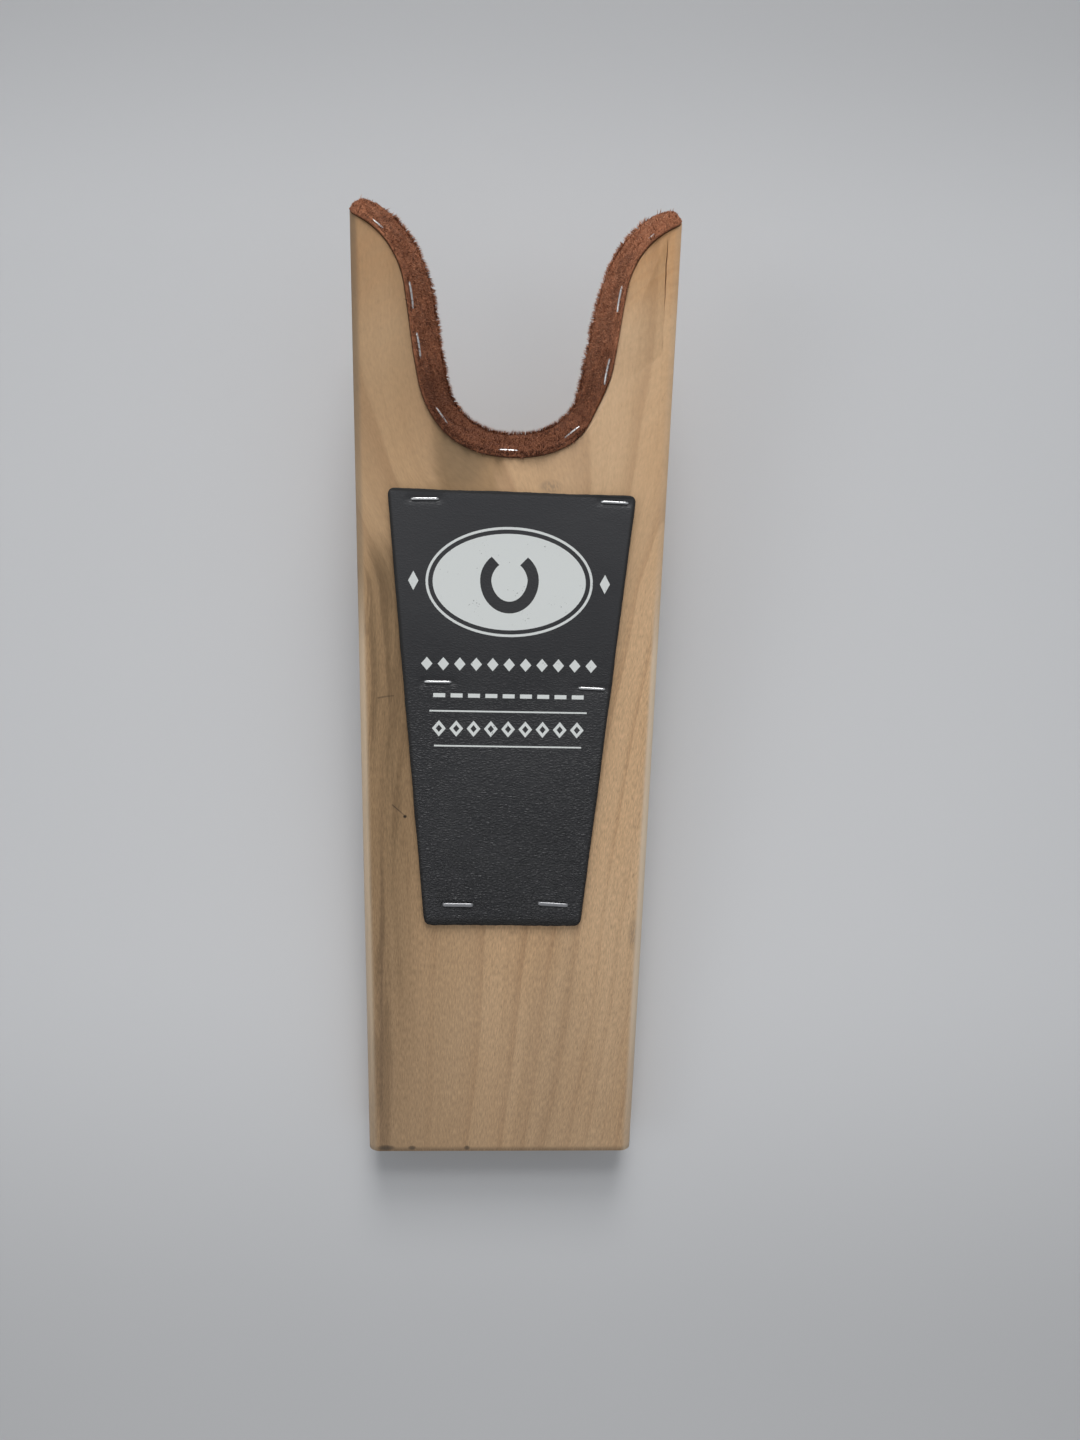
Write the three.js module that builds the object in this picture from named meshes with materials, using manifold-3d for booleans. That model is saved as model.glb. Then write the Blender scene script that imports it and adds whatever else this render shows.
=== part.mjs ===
// A boot jack. The heel of a boot is pulled out of the notch while the other foot stands on the leather pad.
//
// A tapered hardwood board leans on a cross cleat, so that its horn end is raised. The wall of the notch is
// lined with a strip of suede, and a leather foot pad lies on the board. Wire staples hold both of them down.
// Two countersunk screws, hidden under the pad, hold the cleat.
//
// Units are millimetres. The pieces are drawn in the board's own frame: x runs across the board, y along it
// from the heel end to the horns, and z up from its underside. The jack then leans back on its cleat, and its
// origin is on the floor, at the middle of the whole object.

import * as THREE from 'three';
import { mergeVertices } from 'three/addons/utils/BufferGeometryUtils.js';
import Module from 'manifold-3d';

const wasm = await Module();
wasm.setup();

// Board
const boardLength = 304.8;
const heelWidth = 88.9;
const hornWidth = 101.6;
const boardThickness = 19;
const topEdgeRadius = 4;
const undersideEdgeRadius = 1.5;
const lean = THREE.MathUtils.degToRad(8);

// Notch: half of its outline, as three cubic curves from the middle of the throat to the right horn's tip.
// The wall leans outward, so the outline on the top face is wider than the one on the underside.
const notchOnTop = [[0, 229.8], [18, 229.8], [26.8, 239.4], [29.8, 253.2], [31.3, 260], [32.6, 270.8],
  [34, 279.8], [35.4, 288.9], [41.2, 297.2], [50, 300]];
const notchOnUnderside = [[0, 237], [12.7, 237], [21.1, 244.6], [23.1, 252], [25.4, 260.5], [27, 271.5],
  [28.6, 281], [30.8, 293], [36.3, 303.2], [47.3, 307.8]];
const stepsPerCurve = 10;

// Suede lining of the notch
const liningThickness = 1.5;
const liningProud = 0.6;
const liningRise = 0.5;
const liningEndTrim = 4.5;
const liningEndRun = 0.06;

// Leather foot pad, cut by hand and a little askew
const padCorners = [[-26.2, 79.7], [24.9, 79.8], [38.7, 219], [-38.7, 219.8]];
const padCornerRadius = 2.6;
const padThickness = 2.2;

// Cleat and its screws
const cleatMiddle = 200;
const cleatDepth = 19;
const cleatWidth = 95;
const screwSpacing = 48;
const screwLength = 32;
const screwHeadDiameter = 8.2;
const screwShankDiameter = 4.2;
const screwSunk = 0.4;
const recessWidth = 1;
const recessLength = 4.6;
const recessDepth = 1.8;

// Staples: fine round-looking wire on the lining and the upper pad, wider flat wire at the foot of the pad
const fineStaple = { crown: 9.2, wire: 0.7, width: 0.8, leg: 8 };
const wideStaple = { crown: 10.4, wire: 0.6, width: 1.25, leg: 9.5 };
const stapleProud = 0.25;

// Middles of the pad staples, and how far each is turned, in degrees
const padStaples = [
  { name: 'pad_staple_top_left', kind: fineStaple, at: [-27, 216.6], turn: 1.3 },
  { name: 'pad_staple_top_right', kind: fineStaple, at: [32, 216.9], turn: -1.3 },
  { name: 'pad_staple_middle_left', kind: fineStaple, at: [-22.5, 159.8], turn: 0 },
  { name: 'pad_staple_middle_right', kind: fineStaple, at: [26.5, 158.5], turn: -1.8 },
  { name: 'pad_staple_bottom_left', kind: wideStaple, at: [-15.3, 86.9], turn: -0.5 },
  { name: 'pad_staple_bottom_right', kind: wideStaple, at: [15.8, 87.3], turn: -3.3 },
];

// The lining staples: how far along the notch each lies, from the left tip (-1) through the throat (0) to the
// right tip (1), and how far below the upper edge of the suede
const liningStaples = [
  { station: -0.933, drop: 1.6 },
  { station: -0.665, drop: 1.6 },
  { station: -0.505, drop: 1.9 },
  { station: -0.267, drop: 3.8 },
  { station: -0.013, drop: 3.2 },
  { station: 0.208, drop: 4.2 },
  { station: 0.445, drop: 1.4 },
  { station: 0.673, drop: 1.6 },
  { station: 0.92, drop: 1.8 },
];
const liningStapleTilt = THREE.MathUtils.degToRad(45);

// Clearance between pieces that lie against each other
const gap = 0.3;

// ---------- solids ----------

// Volume of a closed mesh, negative when its faces point in.
function signedVolume(positions, triangles) {
  const corner = (index) => new THREE.Vector3().fromArray(positions, 3 * index);
  let sum = 0;
  for (let i = 0; i < triangles.length; i += 3) {
    const [a, b, c] = [corner(triangles[i]), corner(triangles[i + 1]), corner(triangles[i + 2])];
    sum += a.dot(b.cross(c)) / 6;
  }
  return sum;
}

// Triangles that fill an outline and turn the same way round as it does.
function capTriangles(outline) {
  const faces = THREE.ShapeUtils.triangulateShape(outline, []);
  const filled = faces.reduce((sum, face) => sum + THREE.ShapeUtils.area(face.map((i) => outline[i])), 0);
  const sameWay = Math.sign(filled) === Math.sign(THREE.ShapeUtils.area(outline));
  return sameWay ? faces : faces.map(([a, b, c]) => [c, b, a]);
}

// A closed solid through rings of matching points. flatten gives a point's two coordinates on the end caps.
function loft(rings, flatten) {
  const count = rings[0].length;
  const triangles = [];
  for (let ring = 0; ring + 1 < rings.length; ring += 1) {
    for (let i = 0; i < count; i += 1) {
      const next = (i + 1) % count;
      const [a, b] = [ring * count + i, ring * count + next];
      triangles.push(a, b, b + count, a, b + count, a + count);
    }
  }
  for (const [a, b, c] of capTriangles(rings[0].map(flatten))) {
    triangles.push(c, b, a);
  }
  const capStart = (rings.length - 1) * count;
  for (const [a, b, c] of capTriangles(rings.at(-1).map(flatten))) {
    triangles.push(capStart + a, capStart + b, capStart + c);
  }
  const positions = rings.flat().flatMap((point) => point.toArray());
  if (signedVolume(positions, triangles) < 0) {
    triangles.reverse();
  }
  const geometry = new THREE.BufferGeometry();
  geometry.setAttribute('position', new THREE.Float32BufferAttribute(positions, 3));
  geometry.setIndex(triangles);
  return geometry;
}

function toSolid(geometry) {
  const plain = geometry.clone();
  plain.deleteAttribute('normal');
  plain.deleteAttribute('uv');
  const welded = mergeVertices(plain, 1e-4);
  return new wasm.Manifold(new wasm.Mesh({
    numProp: 3,
    vertProperties: new Float32Array(welded.getAttribute('position').array),
    triVerts: new Uint32Array(welded.getIndex().array),
  }));
}

function toGeometry(solid) {
  const mesh = solid.getMesh();
  const geometry = new THREE.BufferGeometry();
  geometry.setAttribute('position', new THREE.BufferAttribute(new Float32Array(mesh.vertProperties), 3));
  geometry.setIndex(new THREE.BufferAttribute(new Uint32Array(mesh.triVerts), 1));
  geometry.computeVertexNormals();
  return geometry;
}

function cut(geometry, cutters) {
  let solid = toSolid(geometry);
  for (const cutter of cutters) {
    solid = solid.subtract(toSolid(cutter));
  }
  return toGeometry(solid);
}

// ---------- notch ----------

// The notch outline from the left tip to the right tip, on the plane a fraction of the way up the board.
function notchOutline(fraction) {
  const anchors = notchOnUnderside.map(([x, y], i) => new THREE.Vector2(
    THREE.MathUtils.lerp(x, notchOnTop[i][0], fraction),
    THREE.MathUtils.lerp(y, notchOnTop[i][1], fraction),
  ));
  const half = new THREE.CurvePath();
  for (let i = 0; i + 3 < anchors.length; i += 3) {
    half.add(new THREE.CubicBezierCurve(anchors[i], anchors[i + 1], anchors[i + 2], anchors[i + 3]));
  }
  const right = half.getPoints(stepsPerCurve);
  const left = right.slice(1).reverse().map((point) => new THREE.Vector2(-point.x, point.y));
  return [...left, ...right];
}

function tangentAt(points, i) {
  const before = points[Math.max(i - 1, 0)];
  const after = points[Math.min(i + 1, points.length - 1)];
  return after.clone().sub(before).normalize();
}

// The outline moved into the opening by a distance.
function movedIn(points, distance) {
  return points.map((point, i) => {
    const tangent = tangentAt(points, i);
    return new THREE.Vector2(point.x - tangent.y * distance, point.y + tangent.x * distance);
  });
}

function notchCutter() {
  const beyond = 3;
  const farAside = 40;
  const rings = [-beyond, boardThickness + beyond].map((z) => {
    const outline = notchOutline(z / boardThickness);
    const leftEnd = outline[0].clone().addScaledVector(tangentAt(outline, 0), -farAside);
    const rightEnd = outline.at(-1).clone().addScaledVector(tangentAt(outline, outline.length - 1), farAside);
    return [leftEnd, ...outline, rightEnd].map((point) => new THREE.Vector3(point.x, point.y, z));
  });
  return loft(rings, (point) => new THREE.Vector2(point.x, point.y));
}

// Position and axes of a staple on the lining, at a station from -1 to 1 along the notch. Its legs are driven
// into the wall from above, at a slant.
function liningPlace({ station, drop }) {
  const height = boardThickness + liningProud - drop;
  const outline = notchOutline(height / boardThickness);
  const face = new THREE.CatmullRomCurve3(
    movedIn(outline, gap + liningThickness).map((point) => new THREE.Vector3(point.x, point.y, height)));
  const lower = new THREE.CatmullRomCurve3(
    movedIn(notchOutline(0), gap + liningThickness).map((point) => new THREE.Vector3(point.x, point.y, 0)));
  const u = (station + 1) / 2;
  const point = face.getPointAt(u);
  const along = face.getTangentAt(u);
  const up = point.clone().sub(lower.getPointAt(u)).projectOnPlane(along).normalize();
  const outward = new THREE.Vector3().crossVectors(up, along);
  outward.applyAxisAngle(along, liningStapleTilt);
  const across = new THREE.Vector3().crossVectors(outward, along);
  return new THREE.Matrix4().makeBasis(along, across, outward).setPosition(point);
}

// ---------- pieces ----------

// Cross section of the board at a width, with round-overs on its long edges.
function boardSection(width, y) {
  const half = width / 2;
  const shape = new THREE.Shape();
  shape.moveTo(-half + undersideEdgeRadius, 0);
  shape.lineTo(half - undersideEdgeRadius, 0);
  shape.absarc(half - undersideEdgeRadius, undersideEdgeRadius, undersideEdgeRadius, -Math.PI / 2, 0);
  shape.absarc(half - topEdgeRadius, boardThickness - topEdgeRadius, topEdgeRadius, 0, Math.PI / 2);
  shape.absarc(-half + topEdgeRadius, boardThickness - topEdgeRadius, topEdgeRadius, Math.PI / 2, Math.PI);
  shape.absarc(-half + undersideEdgeRadius, undersideEdgeRadius, undersideEdgeRadius, Math.PI, Math.PI * 1.5);
  const arcSteps = 6;
  const points = shape.getPoints(arcSteps);
  points.pop();
  return points.map((point) => new THREE.Vector3(point.x, y, point.y));
}

function boardBlank() {
  const rings = [boardSection(heelWidth, 0), boardSection(hornWidth, boardLength)];
  return loft(rings, (point) => new THREE.Vector2(point.x, point.z));
}

// The strip follows the wall from tip to tip. Its lower corners are trimmed off at both ends, over a share of
// its length on each side.
function liningStrip() {
  const top = boardThickness + liningProud;
  const last = notchOutline(0).length - 1;
  const rings = [];
  for (let i = 0; i <= last; i += 1) {
    const toEnd = Math.min(i, last - i) / last;
    const trim = liningEndTrim * Math.max(0, 1 - toEnd / liningEndRun) ** 2;
    const corner = (height, depth) => {
      const point = movedIn(notchOutline(height / boardThickness), depth)[i];
      return new THREE.Vector3(point.x, point.y, height);
    };
    const bottom = liningRise + trim;
    const face = gap + liningThickness;
    rings.push([corner(bottom, gap), corner(top, gap), corner(top, face), corner(bottom, face)]);
  }
  return loft(rings, (point) => new THREE.Vector2(point.y, point.z));
}

// The pad lies flat, its corners rounded by short curves.
function footPad() {
  const corners = padCorners.map(([x, y]) => new THREE.Vector2(x, y));
  const shape = new THREE.Shape();
  corners.forEach((corner, i) => {
    const towardPrevious = corners.at(i - 1).clone().sub(corner).setLength(padCornerRadius);
    const towardNext = corners[(i + 1) % corners.length].clone().sub(corner).setLength(padCornerRadius);
    const start = corner.clone().add(towardPrevious);
    const end = corner.clone().add(towardNext);
    if (i === 0) {
      shape.moveTo(start.x, start.y);
    } else {
      shape.lineTo(start.x, start.y);
    }
    shape.quadraticCurveTo(corner.x, corner.y, end.x, end.y);
  });
  shape.closePath();
  const extrusion = { depth: padThickness, bevelEnabled: false, curveSegments: 5 };
  const geometry = new THREE.ExtrudeGeometry(shape, extrusion);
  return geometry.translate(0, 0, boardThickness + gap);
}

// The cleat's foot is cut level with the floor when the jack leans.
function cleatBlock() {
  const floorAt = (y) => -y * Math.tan(lean);
  const [near, far] = [cleatMiddle - cleatDepth / 2, cleatMiddle + cleatDepth / 2];
  const section = [[near, -gap], [near, floorAt(near)], [far, floorAt(far)], [far, -gap]];
  const ends = [-cleatWidth / 2, cleatWidth / 2];
  const rings = ends.map((x) => section.map(([y, z]) => new THREE.Vector3(x, y, z)));
  return loft(rings, (point) => new THREE.Vector2(point.y, point.z));
}

// A countersunk wood screw standing on its point, or the hole for it when it is grown by a clearance.
function screwBody(grow) {
  const headRadius = screwHeadDiameter / 2 + grow;
  const shankRadius = screwShankDiameter / 2 + grow;
  const headHeight = (screwHeadDiameter - screwShankDiameter) / 2;
  const pointHeight = 5;
  const rimHeight = 0.4;
  const top = grow > 0 ? screwSunk + 1 : 0;
  const profile = [
    new THREE.Vector2(0, -screwLength - grow),
    new THREE.Vector2(shankRadius, -screwLength + pointHeight - grow),
    new THREE.Vector2(shankRadius, -headHeight - rimHeight),
    new THREE.Vector2(headRadius, -rimHeight),
    new THREE.Vector2(headRadius, top),
    new THREE.Vector2(0, top),
  ];
  const sides = 20;
  return new THREE.LatheGeometry(profile, sides).rotateX(Math.PI / 2);
}

function screwPlaced(geometry, side) {
  return geometry.translate(side * screwSpacing / 2, cleatMiddle, boardThickness - screwSunk);
}

function cleatScrew() {
  const slot = (x, y) => new THREE.BoxGeometry(x, y, 2 * recessDepth);
  return cut(screwBody(0), [slot(recessLength, recessWidth), slot(recessWidth, recessLength)]);
}

// A staple with its crown along x and its legs down, or the slot for it when it is grown by a clearance.
function stapleBody(kind, grow) {
  const half = kind.crown / 2 + grow;
  const wire = kind.wire;
  const inner = kind.crown / 2 - wire - grow;
  const top = grow > 0 ? 2 : stapleProud;
  const under = stapleProud - wire - grow;
  const foot = stapleProud - kind.leg - grow;
  const shape = new THREE.Shape();
  shape.moveTo(-half, foot);
  shape.lineTo(-inner, foot);
  shape.lineTo(-inner, under);
  shape.lineTo(inner, under);
  shape.lineTo(inner, foot);
  shape.lineTo(half, foot);
  shape.lineTo(half, top - wire);
  shape.quadraticCurveTo(half, top, half - wire, top);
  shape.lineTo(-half + wire, top);
  shape.quadraticCurveTo(-half, top, -half, top - wire);
  shape.closePath();
  const depth = kind.width + 2 * grow;
  const geometry = new THREE.ExtrudeGeometry(shape, { depth, bevelEnabled: false, curveSegments: 3 });
  return geometry.rotateX(Math.PI / 2).translate(0, depth / 2, 0);
}

function padStaplePlace({ at, turn }) {
  const place = new THREE.Matrix4().makeRotationZ(THREE.MathUtils.degToRad(turn));
  return place.setPosition(at[0], at[1], boardThickness + gap + padThickness);
}

// ---------- assembly ----------

const materials = {
  hardwood: { color: 0xc2a079, roughness: 0.62, metalness: 0 },
  suede: { color: 0x73483a, roughness: 1, metalness: 0 },
  leather: { color: 0x3c3c3f, roughness: 0.58, metalness: 0 },
  steel: { color: 0xc9cbcd, roughness: 0.3, metalness: 1 },
  zinc: { color: 0xb9b4a2, roughness: 0.42, metalness: 1 },
};

const jack = new THREE.Group();
jack.rotation.x = lean;

function addPiece(name, geometry, finish) {
  const mesh = new THREE.Mesh(geometry, new THREE.MeshStandardMaterial(materials[finish]));
  mesh.name = name;
  jack.add(mesh);
  return mesh;
}

const stapleSlot = (kind, place) => stapleBody(kind, gap).applyMatrix4(place);
const padSlots = padStaples.map((staple) => stapleSlot(staple.kind, padStaplePlace(staple)));
const liningPlaces = liningStaples.map((staple) => liningPlace(staple));
const liningSlots = liningPlaces.map((place) => stapleSlot(fineStaple, place));
const screwHoles = [-1, 1].map((side) => screwPlaced(screwBody(gap), side));

addPiece('board', cut(boardBlank(), [notchCutter(), ...padSlots, ...liningSlots, ...screwHoles]), 'hardwood');
addPiece('cleat', cut(cleatBlock(), screwHoles), 'hardwood');
addPiece('cleat_screw_left', screwPlaced(cleatScrew(), -1), 'zinc');
addPiece('cleat_screw_right', screwPlaced(cleatScrew(), 1), 'zinc');
addPiece('foot_pad', cut(footPad(), padSlots), 'leather');
addPiece('notch_lining', cut(liningStrip(), liningSlots), 'suede');

for (const staple of padStaples) {
  addPiece(staple.name, stapleBody(staple.kind, 0).applyMatrix4(padStaplePlace(staple)), 'steel');
}
liningPlaces.forEach((place, i) => {
  addPiece(`lining_staple_${i + 1}`, stapleBody(fineStaple, 0).applyMatrix4(place), 'steel');
});

// The origin is on the floor under the middle of the whole object.
const group = new THREE.Group();
group.add(jack);
const bounds = new THREE.Box3().setFromObject(group, true);
const middle = bounds.getCenter(new THREE.Vector3());
jack.position.set(-middle.x, -middle.y, 0);

export default group;
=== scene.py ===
"""Looks for the boot jack: wood, leather, suede and wire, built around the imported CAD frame.

Pieces are drawn in the board's own frame, in metres: x runs across the board, y along it from the heel end to
the horns, and z up from its underside. JACK carries that frame to where the jack leans on its cleat.
"""

import bisect
import math
import random

import bmesh
import bpy
from mathutils import Euler, Matrix, Vector, noise
from mathutils.geometry import delaunay_2d_cdt


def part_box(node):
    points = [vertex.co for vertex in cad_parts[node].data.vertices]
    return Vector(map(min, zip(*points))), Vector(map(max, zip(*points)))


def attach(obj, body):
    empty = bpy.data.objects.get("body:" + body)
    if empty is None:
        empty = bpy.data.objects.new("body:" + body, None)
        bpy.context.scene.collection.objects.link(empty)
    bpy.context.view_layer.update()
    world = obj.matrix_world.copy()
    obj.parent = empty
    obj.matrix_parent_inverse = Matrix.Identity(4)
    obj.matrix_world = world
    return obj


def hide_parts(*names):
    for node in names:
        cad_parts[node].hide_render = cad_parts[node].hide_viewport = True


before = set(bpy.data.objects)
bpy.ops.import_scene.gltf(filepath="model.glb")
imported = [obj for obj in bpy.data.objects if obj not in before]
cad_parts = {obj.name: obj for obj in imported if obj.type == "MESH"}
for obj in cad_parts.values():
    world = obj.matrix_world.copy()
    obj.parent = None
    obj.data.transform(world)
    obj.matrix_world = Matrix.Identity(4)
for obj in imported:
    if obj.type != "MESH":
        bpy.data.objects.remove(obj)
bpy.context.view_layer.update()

MM = 0.001
LEAN = math.radians(8)
THICK = 19 * MM
LENGTH = 304.8 * MM
HEEL_WIDTH = 88.9 * MM
HORN_WIDTH = 101.6 * MM
TOP_ROUND = 4 * MM
UNDER_ROUND = 1.5 * MM

# The board's frame stands on its heel arris, and the CAD box of the board says where that is along Y.
HEEL_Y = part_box("board")[0].y + THICK * math.sin(LEAN)
JACK = Matrix.Translation((0, HEEL_Y, 0)) @ Matrix.Rotation(LEAN, 4, "X")

# Half of the notch outline, in millimetres, from the throat to the right tip: three cubic curves on each face
NOTCH_TOP = [(0, 229.8), (18, 229.8), (26.8, 239.4), (29.8, 253.2), (31.3, 260), (32.6, 270.8),
             (34, 279.8), (35.4, 288.9), (41.2, 297.2), (50, 300)]
NOTCH_UNDER = [(0, 237), (12.7, 237), (21.1, 244.6), (23.1, 252), (25.4, 260.5), (27, 271.5),
               (28.6, 281), (30.8, 293), (36.3, 303.2), (47.3, 307.8)]

PAD_CORNERS = [Vector(c) * MM for c in ((-26.2, 79.7), (24.9, 79.8), (38.7, 219), (-38.7, 219.8))]
PAD_TOP = THICK + 2.5 * MM
PAD_CORNER_ROUND = 2.6 * MM
PAD_SHOULDER = 0.6 * MM

# The suede strip: its lip above the top face, its face off the wall, and its foot above the underside
LINING_PROUD = 0.6 * MM
LINING_FACE = 1.8 * MM
LINING_RISE = 0.5 * MM
NAP_FIBRES = 32000
LOOSE_HAIRS = 6600
# How steeply each kind stands off the suede, how long it is and its radius in millimetres, from least to most
NAP_FIBRE = ((0.35, 1.1), (0.4, 0.8), (0.09, 0.15))
LOOSE_HAIR = ((0.7, 2.2), (0.7, 2.0), (0.09, 0.16))
LOWER_CUT_EDGE = 2.4 * MM

FINE_WIRE = {"crown": 9.2 * MM, "wire": 0.7 * MM, "width": 0.8 * MM, "leg": 8 * MM}
WIDE_WIRE = {"crown": 10.4 * MM, "wire": 0.6 * MM, "width": 1.25 * MM, "leg": 9.5 * MM}
STAPLE_PROUD = 0.25 * MM
STAPLE_BEND = 0.9 * MM
PAD_STAPLES = {
    "pad_staple_top_left": (FINE_WIRE, 1.3),
    "pad_staple_top_right": (FINE_WIRE, -1.3),
    "pad_staple_middle_left": (FINE_WIRE, 0.0),
    "pad_staple_middle_right": (FINE_WIRE, -1.8),
    "pad_staple_bottom_left": (WIDE_WIRE, -0.5),
    "pad_staple_bottom_right": (WIDE_WIRE, -3.3),
}
# Where the lining staples lie along the notch, from -1 to 1, and how many millimetres below the strip's edge
LINING_STAPLES = [(-0.933, 1.6), (-0.665, 1.6), (-0.505, 1.9), (-0.267, 3.8), (-0.013, 3.2), (0.208, 4.2),
                  (0.445, 1.4), (0.673, 1.6), (0.92, 1.8)]
LINING_STAPLE_TILT = math.radians(45)
# The two at the tips are driven deeper into the suede
DRIVEN_DEEPER = {"lining_staple_1": 0.24 * MM, "lining_staple_9": 0.45 * MM}

# How far behind the jack and how high each of the far lights stands: together they let the heel's shadow fade
FAR_LIGHTS = ((1.89, 1.0), (1.69, 1.33), (1.34, 1.7))

PALE_WOOD, WARM_WOOD, DARK_WOOD = (0.66, 0.45, 0.27), (0.58, 0.36, 0.19), (0.4, 0.25, 0.135)
EARLY_RING, LATE_RING = (0.38, 0.23, 0.13), (0.36, 0.2, 0.1)
PORE, END_GRAIN = (0.2, 0.125, 0.07), (0.3, 0.2, 0.12)
HEARTWOOD, MINERAL, DARK_WISP = (0.36, 0.225, 0.115), (0.235, 0.152, 0.08), (0.12, 0.072, 0.036)
HEEL_WOOD, SIDE_TONE_AND_HIGHLIGHT, RIPPLE = (0.3, 0.195, 0.115), (0.74, 0.61, 0.46), (0.5, 0.3, 0.16)
GRIME, DENT, SCRATCH = (0.1, 0.07, 0.045), (0.06, 0.045, 0.035), (0.06, 0.04, 0.03)
NAP_TONES = {"dark": (0.15, 0.055, 0.03), "mid": (0.33, 0.13, 0.067), "light": (0.55, 0.25, 0.138)}


# ---------- small helpers ----------

def lerp(a, b, t):
    return a + (b - a) * t


def smooth(t):
    t = min(max(t, 0.0), 1.0)
    return t * t * (3 - 2 * t)


def board_box(node):
    """Lowest and highest corners of a CAD node in the board's frame."""
    back = JACK.inverted()
    points = [back @ v.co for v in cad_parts[node].data.vertices]
    return (Vector([min(p[i] for p in points) for i in range(3)]),
            Vector([max(p[i] for p in points) for i in range(3)]))


def make_piece(name, points, faces, material, place=JACK, sharp=None):
    """A mesh object from points and faces, shaded smooth, with edges sharper than an angle kept crisp."""
    mesh = bpy.data.meshes.new(name)
    mesh.from_pydata([tuple(p) for p in points], [], faces)
    mesh.validate()
    work = bmesh.new()
    work.from_mesh(mesh)
    bmesh.ops.recalc_face_normals(work, faces=work.faces)
    work.to_mesh(mesh)
    work.free()
    mesh.shade_smooth()
    if sharp is not None:
        mesh.set_sharp_from_angle(angle=math.radians(sharp))
    piece = bpy.data.objects.new(name, mesh)
    bpy.context.scene.collection.objects.link(piece)
    piece.matrix_world = place
    if material is not None:
        mesh.materials.append(material)
    return piece


def finish_piece(piece, slot, *nodes):
    """The piece rides on the one body and stands for its CAD nodes. slot is not used."""
    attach(piece, "root")
    if nodes:
        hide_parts(*nodes)
    return piece


def loft(rings, closed_caps=True):
    """Points and faces of a tube through rings of matching points, with flat ends."""
    count = len(rings[0])
    points = [p for ring in rings for p in ring]
    faces = []
    for r in range(len(rings) - 1):
        for i in range(count):
            a, b = r * count + i, r * count + (i + 1) % count
            faces.append((a, b, b + count, a + count))
    if closed_caps:
        faces.append(tuple(reversed(range(count))))
        faces.append(tuple(range((len(rings) - 1) * count, len(rings) * count)))
    return points, faces


def apply_modifiers(piece):
    graph = bpy.context.evaluated_depsgraph_get()
    mesh = bpy.data.meshes.new_from_object(piece.evaluated_get(graph))
    old = piece.data
    piece.modifiers.clear()
    piece.data = mesh
    bpy.data.meshes.remove(old)


def cut_with(piece, cutter):
    modifier = piece.modifiers.new("cut", "BOOLEAN")
    modifier.operation = "DIFFERENCE"
    modifier.solver = "EXACT"
    modifier.object = cutter
    bpy.context.view_layer.update()
    apply_modifiers(piece)
    mesh = cutter.data
    bpy.data.objects.remove(cutter)
    bpy.data.meshes.remove(mesh)


# ---------- notch outline ----------

def bezier(a, b, c, d, t):
    s = 1 - t
    return a * s ** 3 + b * 3 * s * s * t + c * 3 * s * t * t + d * t ** 3


def half_outline(anchors, q):
    """A point of the right half at q from 0 in the throat to 3 at the tip."""
    first = min(int(q), 2)
    run = [Vector(anchors[3 * first + k]) * MM for k in range(4)]
    return bezier(*run, q - first)


def wall_point(q, z):
    """The notch wall at q from -3 at the left tip to 3 at the right tip, and height z."""
    point = half_outline(NOTCH_UNDER, abs(q)).lerp(half_outline(NOTCH_TOP, abs(q)), z / THICK)
    return Vector((math.copysign(point.x, q) if q else 0.0, point.y, z))


def wall_inward(q, z):
    """The level direction from the wall into the notch."""
    step = 0.02
    along = wall_point(q + step, z) - wall_point(q - step, z)
    return Vector((-along.y, along.x, 0)).normalized()


def lined_point(q, z, depth):
    return wall_point(q, z) + wall_inward(q, z) * depth


def arc_table(z, depth, start=-3.0, end=3.0, count=600):
    """Values of q evenly spread from start to end, with the share of the length run through at each."""
    values = [lerp(start, end, i / count) for i in range(count + 1)]
    spots = [lined_point(q, z, depth) for q in values]
    runs = [0.0]
    for a, b in zip(spots, spots[1:]):
        runs.append(runs[-1] + (b - a).length)
    return values, [r / runs[-1] for r in runs], runs[-1]


def q_at(share, table):
    values, shares, _ = table
    high = min(max(bisect.bisect_right(shares, share), 1), len(shares) - 1)
    low = high - 1
    return lerp(values[low], values[high], (share - shares[low]) / (shares[high] - shares[low]))


# ---------- materials ----------

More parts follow.
